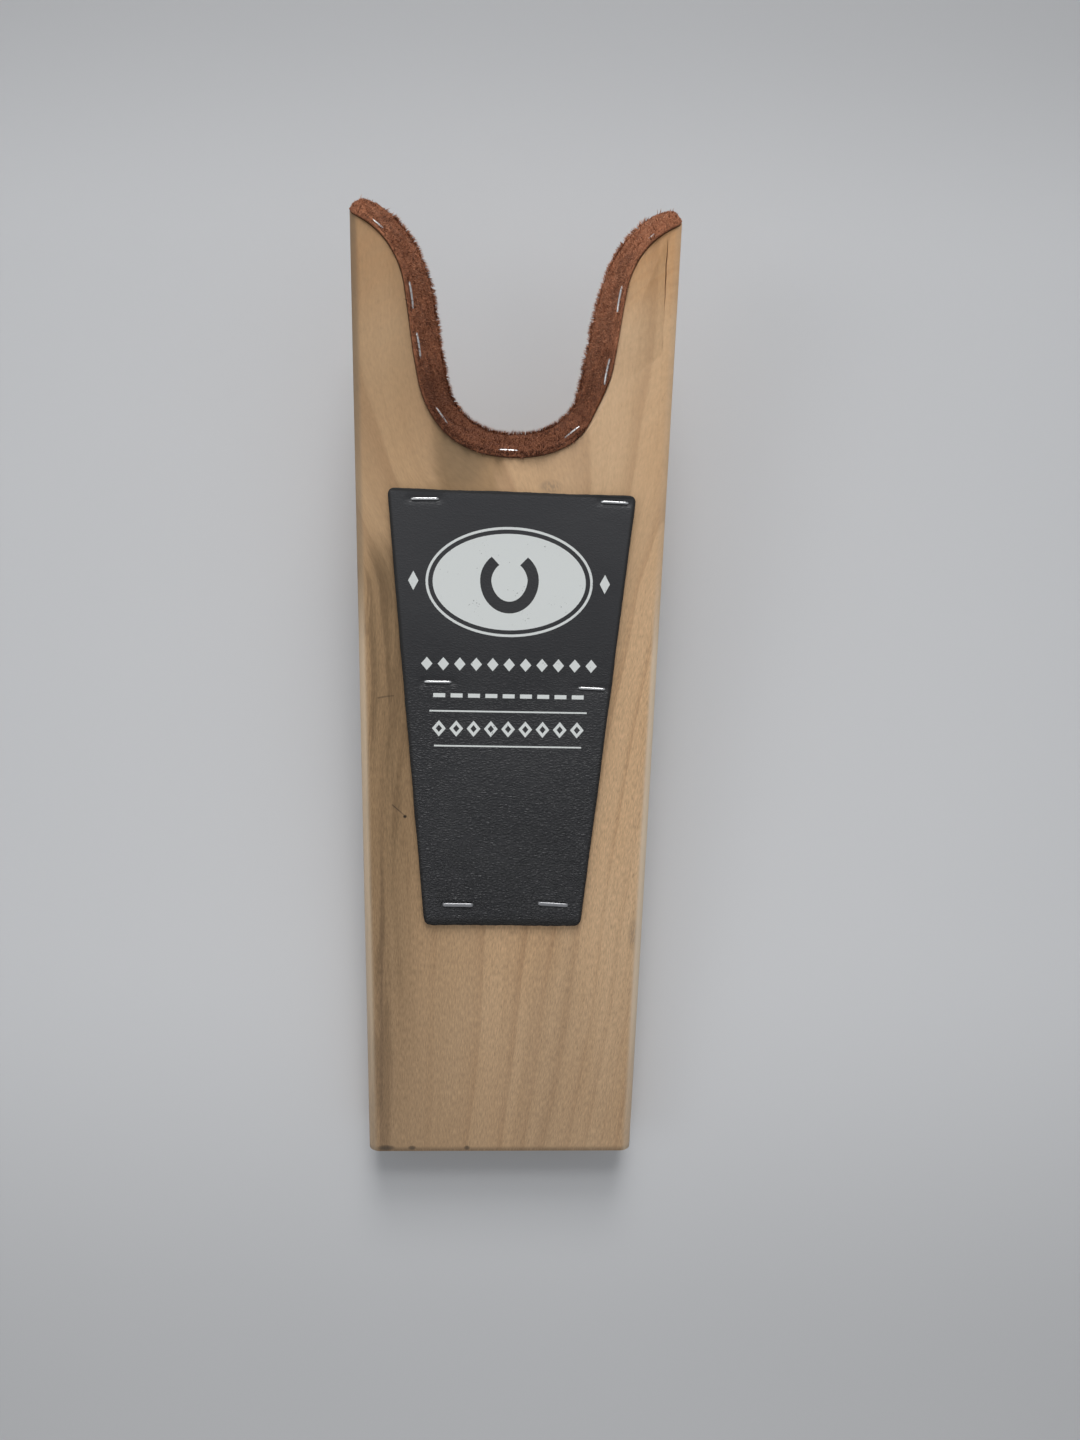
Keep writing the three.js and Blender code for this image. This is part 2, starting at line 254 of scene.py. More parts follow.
class Paint:
    """A material with one Principled shader, and short calls for the nodes that feed it."""

    def __init__(self, name, color=(0.8, 0.8, 0.8), roughness=0.5, metallic=0.0, specular=0.5):
        self.material = bpy.data.materials.new(name)
        self.material.use_nodes = True
        self.tree = self.material.node_tree
        self.shader = self.tree.nodes["Principled BSDF"]
        self.set("Base Color", (*color, 1))
        self.set("Roughness", roughness)
        self.set("Metallic", metallic)
        self.set("Specular IOR Level", specular)
        self.place = self.tree.nodes.new("ShaderNodeTexCoord").outputs["Object"]

    def set(self, name, value):
        if isinstance(value, bpy.types.NodeSocket):
            self.tree.links.new(value, self.shader.inputs[name])
        else:
            self.shader.inputs[name].default_value = value

    def node(self, kind, inputs=(), **settings):
        made = self.tree.nodes.new("ShaderNode" + kind)
        for key, value in settings.items():
            setattr(made, key, value)
        for key, value in dict(inputs).items():
            if isinstance(value, bpy.types.NodeSocket):
                self.tree.links.new(value, made.inputs[key])
            elif value is not None:
                made.inputs[key].default_value = value
        return made

    def math(self, operation, a, b=0.0, clamp=False):
        return self.node("Math", {0: a, 1: b}, operation=operation, use_clamp=clamp).outputs[0]

    def times(self, first, *others):
        for other in others:
            first = self.math("MULTIPLY", first, other)
        return first

    def plus(self, a, b):
        return self.math("ADD", a, b)

    def most(self, a, b):
        return self.math("MAXIMUM", a, b)

    def scaled(self, x, y, z):
        """The place stretched by a number per axis."""
        return self.stretched(self.place, x, y, z)

    def turned(self, angle, x, y, z):
        """The place turned about the board's normal, and then stretched by a number per axis."""
        inputs = {"Vector": self.place, "Rotation": (0, 0, angle), "Scale": (1 / x, 1 / y, 1 / z)}
        return self.node("Mapping", inputs, vector_type="TEXTURE").outputs[0]

    def stretched(self, vector, x, y, z):
        return self.node("Mapping", {"Vector": vector, "Scale": (x, y, z)}).outputs[0]

    def noise(self, vector, scale=1.0, detail=3.0, rough=0.55, distortion=0.0):
        inputs = {"Vector": vector, "Scale": scale, "Detail": detail, "Roughness": rough}
        return self.node("TexNoise", {**inputs, "Distortion": distortion}).outputs[0]

    def ramp(self, value, low, high, to_low=0.0, to_high=1.0):
        """value carried smoothly from low..high to to_low..to_high."""
        inputs = {0: value, 1: low, 2: high, 3: to_low, 4: to_high}
        return self.node("MapRange", inputs, interpolation_type="SMOOTHSTEP").outputs[0]

    def blend(self, share, a, b, mode="MIX"):
        a, b = [(*x, 1) if isinstance(x, tuple) else x for x in (a, b)]
        made = self.node("Mix", {"Factor": share}, data_type="RGBA", blend_type=mode)
        for socket, value in ((made.inputs[6], a), (made.inputs[7], b)):
            if isinstance(value, bpy.types.NodeSocket):
                self.tree.links.new(value, socket)
            else:
                socket.default_value = value
        return made.outputs[2]

    def coats(self, color, *layers):
        """Tones laid over a colour one after another, each with its share."""
        for share, tone in layers:
            color = self.blend(share, color, tone)
        return color

    def axes(self):
        return self.node("SeparateXYZ", {0: self.place}).outputs[:3]

    def facing(self):
        """Which way the face looks, in the board's frame."""
        return self.node("SeparateXYZ", {0: self.node("TexCoord").outputs["Normal"]}).outputs[:3]

    def bump(self, height, distance, strength=1.0, under=None):
        inputs = {"Height": height, "Distance": distance, "Strength": strength, "Normal": under}
        return self.node("Bump", inputs).outputs[0]

    def stroke(self, start, end, width):
        """1 on a straight line between two places on the board's face, fading to 0 at its width."""
        px, py, _ = self.axes()
        run = Vector(end) - Vector(start)
        dx, dy = self.plus(px, -start[0]), self.plus(py, -start[1])
        dot = self.plus(self.times(dx, run.x), self.times(dy, run.y))
        share = self.math("DIVIDE", dot, run.length_squared, clamp=True)
        ex = self.plus(dx, self.times(share, -run.x))
        ey = self.plus(dy, self.times(share, -run.y))
        gap = self.math("SQRT", self.plus(self.times(ex, ex), self.times(ey, ey)))
        return self.ramp(gap, 0.0, width, 1.0, 0.0)

    def spot(self, x, y, wide, long):
        """1 at a place on the board's face, fading to 0 at an ellipse."""
        px, py, _ = self.axes()
        dx = self.math("DIVIDE", self.plus(px, -x), wide)
        dy = self.math("DIVIDE", self.plus(py, -y), long)
        return self.ramp(self.plus(self.times(dx, dx), self.times(dy, dy)), 0.0, 1.0, 1.0, 0.0)


def grain_noises(paint, grain, y, z):
    """Noises drawn out along the grain, from broad clouds to pores."""
    flow = paint.node("CombineXYZ", {0: grain, 1: y, 2: z}).outputs[0]
    shapes = {
        "cloud": ((34, 8, 30), 3.0, 0.55, 0.0),
        "band": ((75, 2.5, 15), 3.0, 0.6, 0.0),
        "line": ((520, 5, 60), 2.0, 0.6, 0.0),
        "wisp": ((230, 14, 60), 5.0, 0.65, 0.8),
        "fleck": ((3000, 500, 900), 2.0, 0.5, 0.0),
        "pore": ((3000, 420, 1200), 1.0, 0.55, 0.0),
    }
    return {key: paint.noise(paint.stretched(flow, *scale), 1.0, detail, rough, distortion)
            for key, (scale, detail, rough, distortion) in shapes.items()}


def growth_rings(paint, grain, band):
    """Each ring darkens slowly to a fine late line, and the rings crowd together to the right."""
    ramp, times, plus = paint.ramp, paint.times, paint.plus
    age = plus(grain, times(band, 0.006))
    right = paint.most(age, 0.0)
    age = paint.math("FRACT", plus(times(age, 75), times(right, right, 1300)))
    closing = ramp(age, 0.95, 1.0, 1.0, 0.0)
    return times(ramp(age, 0.2, 0.95), closing), times(ramp(age, 0.72, 0.95), closing)


def wood_paint(name, board=True):
    """A close, pale hardwood. On the board the grain leans over to the right and fans out into the horns; on
    the cleat it runs from side to side."""
    paint = Paint(name, roughness=0.5, specular=0.2)
    ramp, times, plus, blend = paint.ramp, paint.times, paint.plus, paint.blend
    x, y, z = paint.axes()
    facing = paint.facing()
    end = facing[1]
    if not board:
        x, y, end = plus(y, -0.2), x, facing[0]
    sway = plus(paint.noise(paint.scaled(16, 6, 16), 1.0, 2.0), -0.5)
    lean = times(ramp(x, -0.04, 0.03, 0.01, 0.14), paint.math("MINIMUM", y, 0.2))
    grain = paint.math("DIVIDE", paint.math("SUBTRACT", x, lean), ramp(y, 0.185, 0.265, 1.0, 2.0))
    grain = plus(plus(grain, times(sway, 0.012)), times(z, 0.45))
    noises = grain_noises(paint, grain, y, z)
    color = ringed_wood(paint, x, y, grain, noises)
    if board:
        color = heartwood(paint, color, sway, noises)
        color = horn_figure(paint, color)
        color = board_marks(paint, color, noises)
    # flecks are plain near the heel, and faint on the smoother horns
    strength = ramp(y, 0.15, 0.22, 0.9, 0.3)
    shade = plus(times(plus(noises["fleck"], -0.48), strength), 1.0)
    color = paint.node("HueSaturation", {"Color": color, "Value": shade}).outputs[0]
    pores = times(ramp(noises["pore"], 0.64, 0.76), ramp(y, 0.15, 0.22, 0.35, 0.14))
    color = blend(pores, color, PORE)
    if board:
        color = side_tone_light_and_shade(paint, color, facing[2])
    ending = ramp(paint.math("ABSOLUTE", end), 0.6, 0.95, 0.0, 0.55)
    paint.set("Base Color", blend(ending, color, END_GRAIN))
    paint.set("Roughness", ramp(noises["fleck"], 0.3, 0.7, 0.48, 0.62))
    height = plus(noises["fleck"], times(noises["pore"], -0.5))
    low = paint.bump(noises["band"], 0.0008, 0.15)
    paint.set("Normal", paint.bump(height, 0.0001, 0.4, low))
    return paint.material


def ringed_wood(paint, x, y, grain, noises):
    """Clouds, broad bands, growth rings and fine lines. The bands and rings fade out on the right side."""
    ramp, times = paint.ramp, paint.times
    band, cloud = noises["band"], noises["cloud"]
    ring, late = growth_rings(paint, grain, band)
    return paint.coats(
        PALE_WOOD,
        (ramp(cloud, 0.35, 0.7, 0.0, 0.7), WARM_WOOD),
        (times(ramp(band, 0.42, 0.75, 0.0, 0.38), ramp(x, 0.02, 0.035, 1.0, 0.1)), DARK_WOOD),
        (times(ring, ramp(x, 0.02, 0.034, 1.0, 0.4), ramp(y, 0.18, 0.22, 0.2, 0.4)), EARLY_RING),
        (times(late, ramp(cloud, 0.38, 0.62, 0.04, 0.36), ramp(y, 0.19, 0.24, 1.0, 0.8)), LATE_RING),
        (ramp(noises["line"], 0.42, 0.72, 0.0, 0.2), DARK_WOOD),
    )


def heartwood(paint, color, sway, noises):
    """The board's left side: darker heartwood with a ragged border, a dark patch beside the throat, and an
    olive mineral streak along the edge, in slanting wisps."""
    ramp, times, plus = paint.ramp, paint.times, paint.plus
    x, y, _ = paint.axes()
    border = plus(plus(x, times(sway, -0.03)), times(plus(noises["line"], -0.5), 0.01))
    heart = times(ramp(border, -0.022, 0.001, 0.75, 0.0), ramp(y, 0.192, 0.212, 1.0, 0.5),
                  ramp(y, 0.06, 0.125, 0.6, 1.0))
    throat = times(ramp(border, -0.006, -0.001, 0.95, 0.0), ramp(border, -0.036, -0.024),
                   ramp(y, 0.2, 0.222), ramp(y, 0.236, 0.262, 1.0, 0.0))
    wisp = noises["wisp"]
    edge = plus(x, times(plus(wisp, -0.5), 0.02))
    streak = times(ramp(edge, -0.038, -0.024, 1.0, 0.0), ramp(x, -0.0465, -0.042),
                   ramp(wisp, 0.32, 0.6, 0.6, 1.0), ramp(y, 0.208, 0.192, 0.0, 0.82),
                   ramp(y, 0.0, 0.1, 0.35, 1.0))
    wisps = times(ramp(wisp, 0.48, 0.64), ramp(x, -0.036, -0.025, 0.45, 0.0), ramp(y, 0.21, 0.19, 0.1, 1.0))
    return paint.coats(color, (paint.most(heart, throat), HEARTWOOD), (streak, MINERAL), (wisps, DARK_WISP))


def horn_figure(paint, color):
    """The left horn is a shade darker. Toward their tips both turn a warmer brown, the right one most,
    rippled aslant."""
    ramp, times = paint.ramp, paint.times
    x, y, _ = paint.axes()
    curl = paint.noise(paint.turned(math.radians(35), 45, 300, 45), 1.0, 3.0, 0.55, 0.5)
    warmer = times(ramp(y, 0.266, 0.288), ramp(x, -0.03, 0.03, 0.5, 0.9), ramp(curl, 0.3, 0.65, 0.65, 1.0))
    color = paint.blend(warmer, color, (0.85, 0.69, 0.52), "MULTIPLY")
    left = times(ramp(y, 0.22, 0.25), ramp(x, -0.02, 0.0, 1.0, 0.0))
    color = paint.blend(left, color, (0.85, 0.84, 0.82), "MULTIPLY")
    ripple = times(ramp(curl, 0.4, 0.6, 0.0, 0.14), ramp(y, 0.21, 0.24))
    return paint.blend(ripple, color, RIPPLE)


def board_marks(paint, color, noises):
    """Handling marks on the top face, each at its own place."""
    ramp, times = paint.ramp, paint.times
    x, y, z = paint.axes()
    top = ramp(z, 0.3 * THICK, 0.7 * THICK)
    fleck = noises["fleck"]
    # a shade darker and greyer at the heel, with a dark line along the left arris, and grime on the end
    color = paint.blend(ramp(y, 0.12, 0.0, 0.0, 0.36), color, HEEL_WOOD)
    from_arris = paint.math("ABSOLUTE", paint.plus(x, 0.0402))
    marks = [
        (times(ramp(from_arris, 0.0, 0.001, 0.42, 0.0), ramp(y, 0.16, 0.06)), (0.16, 0.1, 0.06)),
        (times(ramp(y, 0.002, 0.0004), ramp(fleck, 0.3, 0.6, 0.25, 0.7)), GRIME),
    ]
    # centre, half width and half length of each blot, how strong it is, and its tone
    blots = [
        ((-0.0165, 0.231, 0.011, 0.016), ramp(noises["band"], 0.3, 0.55, 0.0, 0.6), (0.2, 0.135, 0.075)),
        ((0.012, 0.2215, 0.0045, 0.0025), ramp(fleck, 0.35, 0.6, 0.0, 0.6), (0.25, 0.18, 0.12)),
        ((0.0428, 0.0765, 0.0022, 0.007), ramp(fleck, 0.4, 0.55, 0.0, 0.55), (0.16, 0.13, 0.1)),
        ((-0.0328, 0.1156, 0.0008, 0.0007), 1.0, (0.03, 0.02, 0.015)),
    ]
    for at, wide, long in ((-0.0385, 0.0035, 0.0012), (-0.0298, 0.0016, 0.001), (-0.0113, 0.0012, 0.001)):
        blots.append(((at, 0.0012, wide, long), 0.75, DENT))
    marks += [(times(paint.spot(*place), strength), tone) for place, strength, tone in blots]
    scratch = paint.stroke((-0.0369, 0.1194), (-0.0331, 0.1161), 0.00035)
    marks.append((times(scratch, ramp(noises["wisp"], 0.4, 0.6, 0.2, 0.8)), SCRATCH))
    check = paint.most(paint.stroke((-0.0415, 0.1541), (-0.0391, 0.1546), 0.0005),
                       paint.stroke((-0.0391, 0.1546), (-0.0367, 0.1549), 0.0004))
    marks.append((times(check, 0.7), (0.1, 0.065, 0.04)))
    return paint.coats(color, *[(times(share, top), tone) for share, tone in marks])


def side_tone_light_and_shade(paint, color, up):
    """The rounded and sawn sides are paler and greyer, in part painted highlight, except along the left horn,
    where painted shade darkens them.
    """
    ramp, times = paint.ramp, paint.times
    x, y, _ = paint.axes()
    turned = times(ramp(up, 0.85, 1.0, 0.8, 0.0), ramp(up, -0.6, 0.5))
    paler = times(turned, ramp(y, 0.2, 0.165, 0.15, 1.0), ramp(x, -0.01, 0.01, 0.65, 1.0),
                  ramp(y, 0.0, 0.06, 0.45, 1.0))
    color = paint.blend(paler, color, SIDE_TONE_AND_HIGHLIGHT)
    # painted shade on the left horn's sides, which turn away from the light
    shaded = times(turned, ramp(y, 0.165, 0.2), ramp(x, -0.02, 0.0, 1.0, 0.0))
    return paint.blend(shaded, color, (0.64, 0.68, 0.72), "MULTIPLY")


def rim_gap(paint):
    """How far a place on the pad lies from its nearest cut edge."""
    x, y, _ = paint.axes()
    nearest = 1.0
    for corner, follower in zip(PAD_CORNERS, PAD_CORNERS[1:] + PAD_CORNERS[:1]):
        along = (follower - corner).normalized()
        inward = Vector((-along.y, along.x))
        across = paint.plus(paint.times(x, inward.x), paint.times(y, inward.y))
        nearest = paint.math("MINIMUM", paint.plus(across, -corner.dot(inward)), nearest)
    return nearest


def leather_paint():
    paint = Paint("charcoal_leather", roughness=0.5, specular=0.4)
    ramp = paint.ramp
    x, y, z = paint.axes()
    swayed = paint.plus(y, paint.times(paint.noise(paint.place, 500, 2.0), 0.0012))
    skewed = paint.node("CombineXYZ", {0: x, 1: swayed, 2: z}).outputs[0]
    cells = {"Vector": paint.stretched(skewed, 700, 1350, 700), "Scale": 1.0}
    pebble = ramp(paint.node("TexVoronoi", cells, feature="DISTANCE_TO_EDGE").outputs[0], 0.0, 0.3)
    grain = paint.noise(paint.place, 900, 4.0, 0.6)
    crease = paint.noise(paint.scaled(60, 190, 60), 1.0, 5.0, 0.65, 0.6)
    fold = ramp(paint.math("ABSOLUTE", paint.plus(crease, -0.5)), 0.0, 0.035)
    cloud = paint.noise(paint.place, 35, 3.0)
    cut = ramp(z, PAD_TOP - 1.5 * MM, PAD_TOP - 0.55 * MM, 1.0, 0.0)
    # painted shade on the shoulder, which turns away from the light
    shoulder = ramp(paint.facing()[2], 0.75, 0.96, 1.0, 0.0)
    # painted shade darkens the rim, widest along the lower end
    rim = paint.most(ramp(rim_gap(paint), 0.0005, 0.0014, 0.85, 0.0), ramp(y, 0.0808, 0.083, 0.8, 0.0))
    paint.set("Base Color", paint.coats(
        (0.024, 0.024, 0.026),
        (ramp(cloud, 0.35, 0.7), (0.031, 0.031, 0.033)),
        # painted reflection: lighter toward the top end, where the leather catches the far light
        (ramp(y, 0.15, 0.215, 0.0, 0.6), (0.045, 0.045, 0.048)),
        (cut, (0.055, 0.038, 0.028)),
        (paint.most(rim, paint.times(shoulder, 0.75)), (0.012, 0.011, 0.01)),
    ))
    dull = paint.times(paint.most(rim, shoulder), 0.4)
    paint.set("Roughness", paint.plus(ramp(cloud, 0.3, 0.7, 0.4, 0.5), dull))
    base = paint.bump(fold, 0.00016, ramp(y, 0.17, 0.08, 0.05, 0.8))
    base = paint.bump(pebble, 0.0003, ramp(y, 0.2, 0.08, 0.15, 1.0), base)
    paint.set("Normal", paint.bump(grain, 0.0001, 0.6, base))
    return paint.material


def suede_paint(name):
    paint = Paint(name, roughness=0.95, specular=0.1)
    nap = paint.noise(paint.place, 1500, 3.0, 0.7)
    brushed = paint.noise(paint.scaled(300, 300, 150), 1.0, 3.0, 0.6, 0.5)
    tone = paint.plus(paint.times(nap, 0.6), paint.times(brushed, 0.4))
    color = paint.blend(paint.ramp(tone, 0.36, 0.66), (0.2, 0.075, 0.04), (0.48, 0.2, 0.105))
    cloud = paint.ramp(paint.noise(paint.place, 90, 2.0), 0.4, 0.75, 0.0, 0.4)
    color = paint.blend(cloud, color, (0.26, 0.1, 0.054))
    worn = paint.ramp(paint.axes()[1], 0.27, 0.245, 0.0, 0.75)
    paint.set("Base Color", paint.blend(worn, color, (0.15, 0.057, 0.03)))
    paint.set("Sheen Weight", 0.06)
    paint.set("Sheen Roughness", 0.6)
    paint.set("Sheen Tint", (0.75, 0.45, 0.32, 1))
    low = paint.bump(brushed, 0.0004, 0.6)
    paint.set("Normal", paint.bump(nap, 0.0003, 0.9, low))
    return paint.material


def fibre_paint(name, color):
    paint = Paint(name, color, 0.9, specular=0.1)
    paint.set("Sheen Weight", 0.05)
    return paint.material


def wire_paint(name, color=(0.7, 0.7, 0.7), roughness=0.3):
    paint = Paint(name, color, roughness, 1.0)
    haze = paint.noise(paint.place, 1800, 3.0)
    drawn = paint.noise(paint.scaled(300, 5000, 5000), 1.0, 2.0)
    hazed = tuple(c * 0.7 for c in color)
    paint.set("Base Color", paint.blend(paint.ramp(haze, 0.45, 0.75, 0.0, 0.25), color, hazed))
    paint.set("Roughness", paint.ramp(haze, 0.3, 0.7, roughness - 0.03, roughness + 0.07))
    paint.set("Normal", paint.bump(drawn, 0.00003, 0.3))
    return paint.material


def ink_paint():
    paint = Paint("white_print", roughness=0.6, specular=0.25)
    worn = paint.noise(paint.place, 1500, 4.0, 0.7)
    patchy = paint.noise(paint.place, 160, 2.0)
    gone = paint.ramp(paint.plus(worn, paint.times(patchy, 0.35)), 0.84, 0.92)
    paint.set("Base Color", paint.blend(gone, (0.72, 0.74, 0.72), (0.09, 0.09, 0.095)))
    paint.set("Normal", paint.bump(worn, 0.00003, 0.4))
    return paint.material


# ---------- board ----------

def board_ring(width, y):
    """Cross section of the board: round-overs above, small ones below."""
    half = width / 2
    corners = [(half - UNDER_ROUND, UNDER_ROUND, UNDER_ROUND, -90, 6),
               (half - TOP_ROUND, THICK - TOP_ROUND, TOP_ROUND, 0, 14),
               (-half + TOP_ROUND, THICK - TOP_ROUND, TOP_ROUND, 90, 14),
               (-half + UNDER_ROUND, UNDER_ROUND, UNDER_ROUND, 180, 6)]
    ring = []
    for cx, cz, radius, start, steps in corners:
        for i in range(steps + 1):
            angle = math.radians(start + 90 * i / steps)
            ring.append(Vector((cx + radius * math.cos(angle), y, cz + radius * math.sin(angle))))
    return ring


def notch_block():
    """What the notch takes away, from below the board to above it."""
    beyond, aside, steps = 3 * MM, 40 * MM, 150
    rings = []
    for z in (-beyond, THICK + beyond):
        outline = [wall_point(lerp(-3, 3, i / steps), z) for i in range(steps + 1)]
        first = outline[0] + (outline[0] - outline[1]).normalized() * aside
        last = outline[-1] + (outline[-1] - outline[-2]).normalized() * aside
        rings.append([first, *outline, last])
    return loft(rings)


def crack_block():
    """A drying check in the right horn: a long thin sliver that wanders a little."""
    start, end, depth, widest, steps = 296 * MM, 262 * MM, 3 * MM, 0.22 * MM, 24
    left, right = [], []
    for i in range(steps + 1):
        t = i / steps
        x = 46.0 * MM - 0.7 * MM * t + 0.35 * MM * noise.noise(Vector((t * 7, 3.1, 0)))
        wide = widest * (0.15 + math.sin(math.pi * min(t * 1.6, 1)) * 0.85) * (1 - 0.75 * t)
        left.append((x - wide, lerp(start, end, t)))
        right.append((x + wide, lerp(start, end, t)))
    outline = left + right[::-1]
    return loft([[Vector((x, y, z)) for x, y in outline] for z in (THICK - depth, THICK + MM)])


def soften(piece, width, segments, **settings):
    """Rounds the arrises off a little."""
    bevel = piece.modifiers.new("arris", "BEVEL")
    bevel.width = width
    bevel.segments = segments
    for key, value in settings.items():
        setattr(bevel, key, value)
    bpy.context.view_layer.update()
    apply_modifiers(piece)
    piece.data.shade_smooth()
    piece.data.set_sharp_from_angle(angle=math.radians(35))


def make_board(wood):
    rings = [board_ring(lerp(HEEL_WIDTH, HORN_WIDTH, y / LENGTH), y) for y in (0, LENGTH)]
    board = make_piece("board_wood", *loft(rings), wood)
    cut_with(board, make_piece("notch_block", *notch_block(), None))
    cut_with(board, make_piece("crack_block", *crack_block(), None))
    soften(board, 0.45 * MM, 2, limit_method="ANGLE", angle_limit=math.radians(40), use_clamp_overlap=True)
    return finish_piece(board, "hardwood", "board")


def make_cleat(wood):
    low, high = board_box("cleat")
    near, far = low.y, high.y
    fall = math.tan(LEAN)
    section = [(near, 0), (near, -near * fall), (far, -far * fall), (far, 0)]
    rings = [[Vector((x, y, z)) for y, z in section] for x in (low.x, high.x)]
    cleat = make_piece("cleat_wood", *loft(rings), wood)
    soften(cleat, 0.7 * MM, 3)
    return finish_piece(cleat, "hardwood", "cleat")


# ---------- staples ----------

def staple_mesh(kind, bow):
    """A wire bent to a U: crown along x at the top, legs down to chisel points. bow lifts the crown's
    middle."""
    radius = STAPLE_BEND
    half = kind["crown"] / 2 - kind["wire"] / 2
    level = STAPLE_PROUD - kind["wire"] / 2
    foot = STAPLE_PROUD - kind["leg"]
    side = [(half, foot), (half, foot + 1.2 * MM), (half, level - radius)]
    for i in range(1, 7):
        angle = math.radians(90 * i / 6)
        side.append((half - radius + radius * math.cos(angle), level - radius + radius * math.sin(angle)))
    crown = [(half - radius) * (1 - 2 * i / 8) for i in range(1, 8)]
    path = side + [(x, level + bow * (1 - (x / half) ** 2)) for x in crown] + [(-x, z) for x, z in side[::-1]]
    count, rings = 12, []
    for i, (x, z) in enumerate(path):
        before, after = path[max(i - 1, 0)], path[min(i + 1, len(path) - 1)]
        along = Vector((after[0] - before[0], 0, after[1] - before[1])).normalized()
        out = Vector((along.z, 0, -along.x))
        thin = 0.25 if i in (0, len(path) - 1) else 1.0
        ring = []
        for k in range(count):
            angle = 2 * math.pi * (k + 0.5) / count
            c, s = [math.copysign(abs(v) ** 0.75, v) for v in (math.cos(angle), math.sin(angle))]
            ring.append(Vector((x, 0, z)) + out * (c * kind["wire"] / 2 * thin)
                        + Vector((0, s * kind["width"] / 2, 0)))
        rings.append(ring)
    return loft(rings)


def lining_place(station, drop):
    """Where a lining staple lies, and its axes: along the wall, across, and out of the suede at a slant."""
    height = THICK + LINING_PROUD - drop * MM
    q = q_at((station + 1) / 2, arc_table(height, LINING_FACE))
    point = lined_point(q, height, LINING_FACE)
    before, after = [lined_point(q + step, height, LINING_FACE) for step in (-0.02, 0.02)]
    along = (after - before).normalized()
    up = point - lined_point(q, 0, LINING_FACE)
    up = (up - along * up.dot(along)).normalized()
    out = Matrix.Rotation(LINING_STAPLE_TILT, 3, along) @ up.cross(along)
    across = out.cross(along)
    return Matrix.Translation(point) @ Matrix((along, across, out)).transposed().to_4x4()


def pad_place(node, turn):
    low, high = board_box(node)
    spot = Vector(((low.x + high.x) / 2, (low.y + high.y) / 2, PAD_TOP))
    return Matrix.Translation(spot) @ Matrix.Rotation(math.radians(turn), 4, "Z")


def make_staples(wire, places):
    random.seed(7)
    dull = wire_paint("staple_steel_dull", (0.4, 0.4, 0.41), 0.42)
    for name, (kind, place) in places.items():
        soft = name.startswith("lining")
        bow = random.uniform(*((0.3, 0.45) if soft else (-0.05, 0.12))) * MM
        lift = random.uniform(*((-0.76, -0.66) if soft else (-0.06, 0.03))) * MM
        sunk = Matrix.Translation((0, 0, lift - DRIVEN_DEEPER.get(name, 0.0)))
        paint = dull if kind is WIDE_WIRE else wire
        staple = make_piece(name + "_wire", *staple_mesh(kind, bow), paint, JACK @ place @ sunk, sharp=60)
        finish_piece(staple, "staple_wire", name)


# ---------- foot pad ----------

def crown_gap(spot, back, crown=FINE_WIRE["crown"]):
    """Distance from a point to a staple's crown. back carries the point into the staple's own frame."""
    here = back @ spot
    over = max(abs(here.x) - crown / 2, 0)
    return math.sqrt(over * over + here.y * here.y + here.z * here.z)


def pad_outline(spacing=0.9 * MM):
    """The pad's cut edge, with rounded corners and the slight waver of a knife."""
    points = []
    for i, corner in enumerate(PAD_CORNERS):
        follower = PAD_CORNERS[(i + 1) % 4]
        to_last = (PAD_CORNERS[i - 1] - corner).normalized() * PAD_CORNER_ROUND
        to_next = (follower - corner).normalized() * PAD_CORNER_ROUND
        turn = (corner + to_last, corner + to_last / 3, corner + to_next / 3, corner + to_next)
        points += [bezier(*turn, k / 6) for k in range(7)]
        start, end = points[-1], follower - to_next
        steps = int((end - start).length / spacing)
        for k in range(1, steps):
            points.append(start.lerp(end, k / steps))
    centre = Vector((0, 150 * MM))
    wavered = []
    for p in points:
        out = (p - centre).normalized()
        push = 0.22 * MM * noise.noise(Vector((p.x * 70, p.y * 70, 1.7)))
        push += 0.07 * MM * noise.noise(Vector((p.x * 420, p.y * 420, 4.2)))
        wavered.append(p + out * push)
    return wavered


def fill_outline(outline, spacing, extra):
    """Triangles inside an outline, with inner points on a jittered grid. The outline's points come first, and
    then the extra points, which the grid keeps clear of."""
    xs, ys = [p.x for p in outline], [p.y for p in outline]
    points = [p.copy() for p in outline] + extra
    rng = random.Random(3)
    nx, ny = int((max(xs) - min(xs)) / spacing), int((max(ys) - min(ys)) / spacing)
    for i in range(1, nx):
        for j in range(1, ny):
            spot = Vector((min(xs) + i * spacing, min(ys) + j * spacing))
            spot += Vector((rng.uniform(-0.2, 0.2), rng.uniform(-0.2, 0.2))) * spacing
            apart = clear(spot, outline, 0.55 * spacing) and clear(spot, extra, 0.45 * spacing)
            if apart and inside(spot, outline):
                points.append(spot)
    edges = [(i, (i + 1) % len(outline)) for i in range(len(outline))]
    made = delaunay_2d_cdt(points, edges, [], 1, 1e-9)
    return made[0], [tuple(f) for f in made[2]]


def clear(spot, others, gap):
    return all((spot - p).length_squared > gap ** 2 for p in others)


def staple_rows(places):
    """Close rows of points along and beside each staple's crown, where the leather is pinched."""
    spots = []
    for kind, place in places:
        count = int(kind["crown"] / (0.6 * MM)) + 2
        for i in range(-1, count + 1):
            for across in (-2.2, -1.5, -0.95, -0.5, 0.0, 0.5, 0.95, 1.5, 2.2):
                along = (i / (count - 1) - 0.5) * kind["crown"]
                spots.append((place @ Vector((along, across * MM, 0))).xy)
    return spots


def inside(spot, outline):
    hit = False
    for a, b in zip(outline, outline[1:] + outline[:1]):
        if (a.y > spot.y) != (b.y > spot.y) and spot.x < (b.x - a.x) * (spot.y - a.y) / (b.y - a.y) + a.x:
            hit = not hit
    return hit


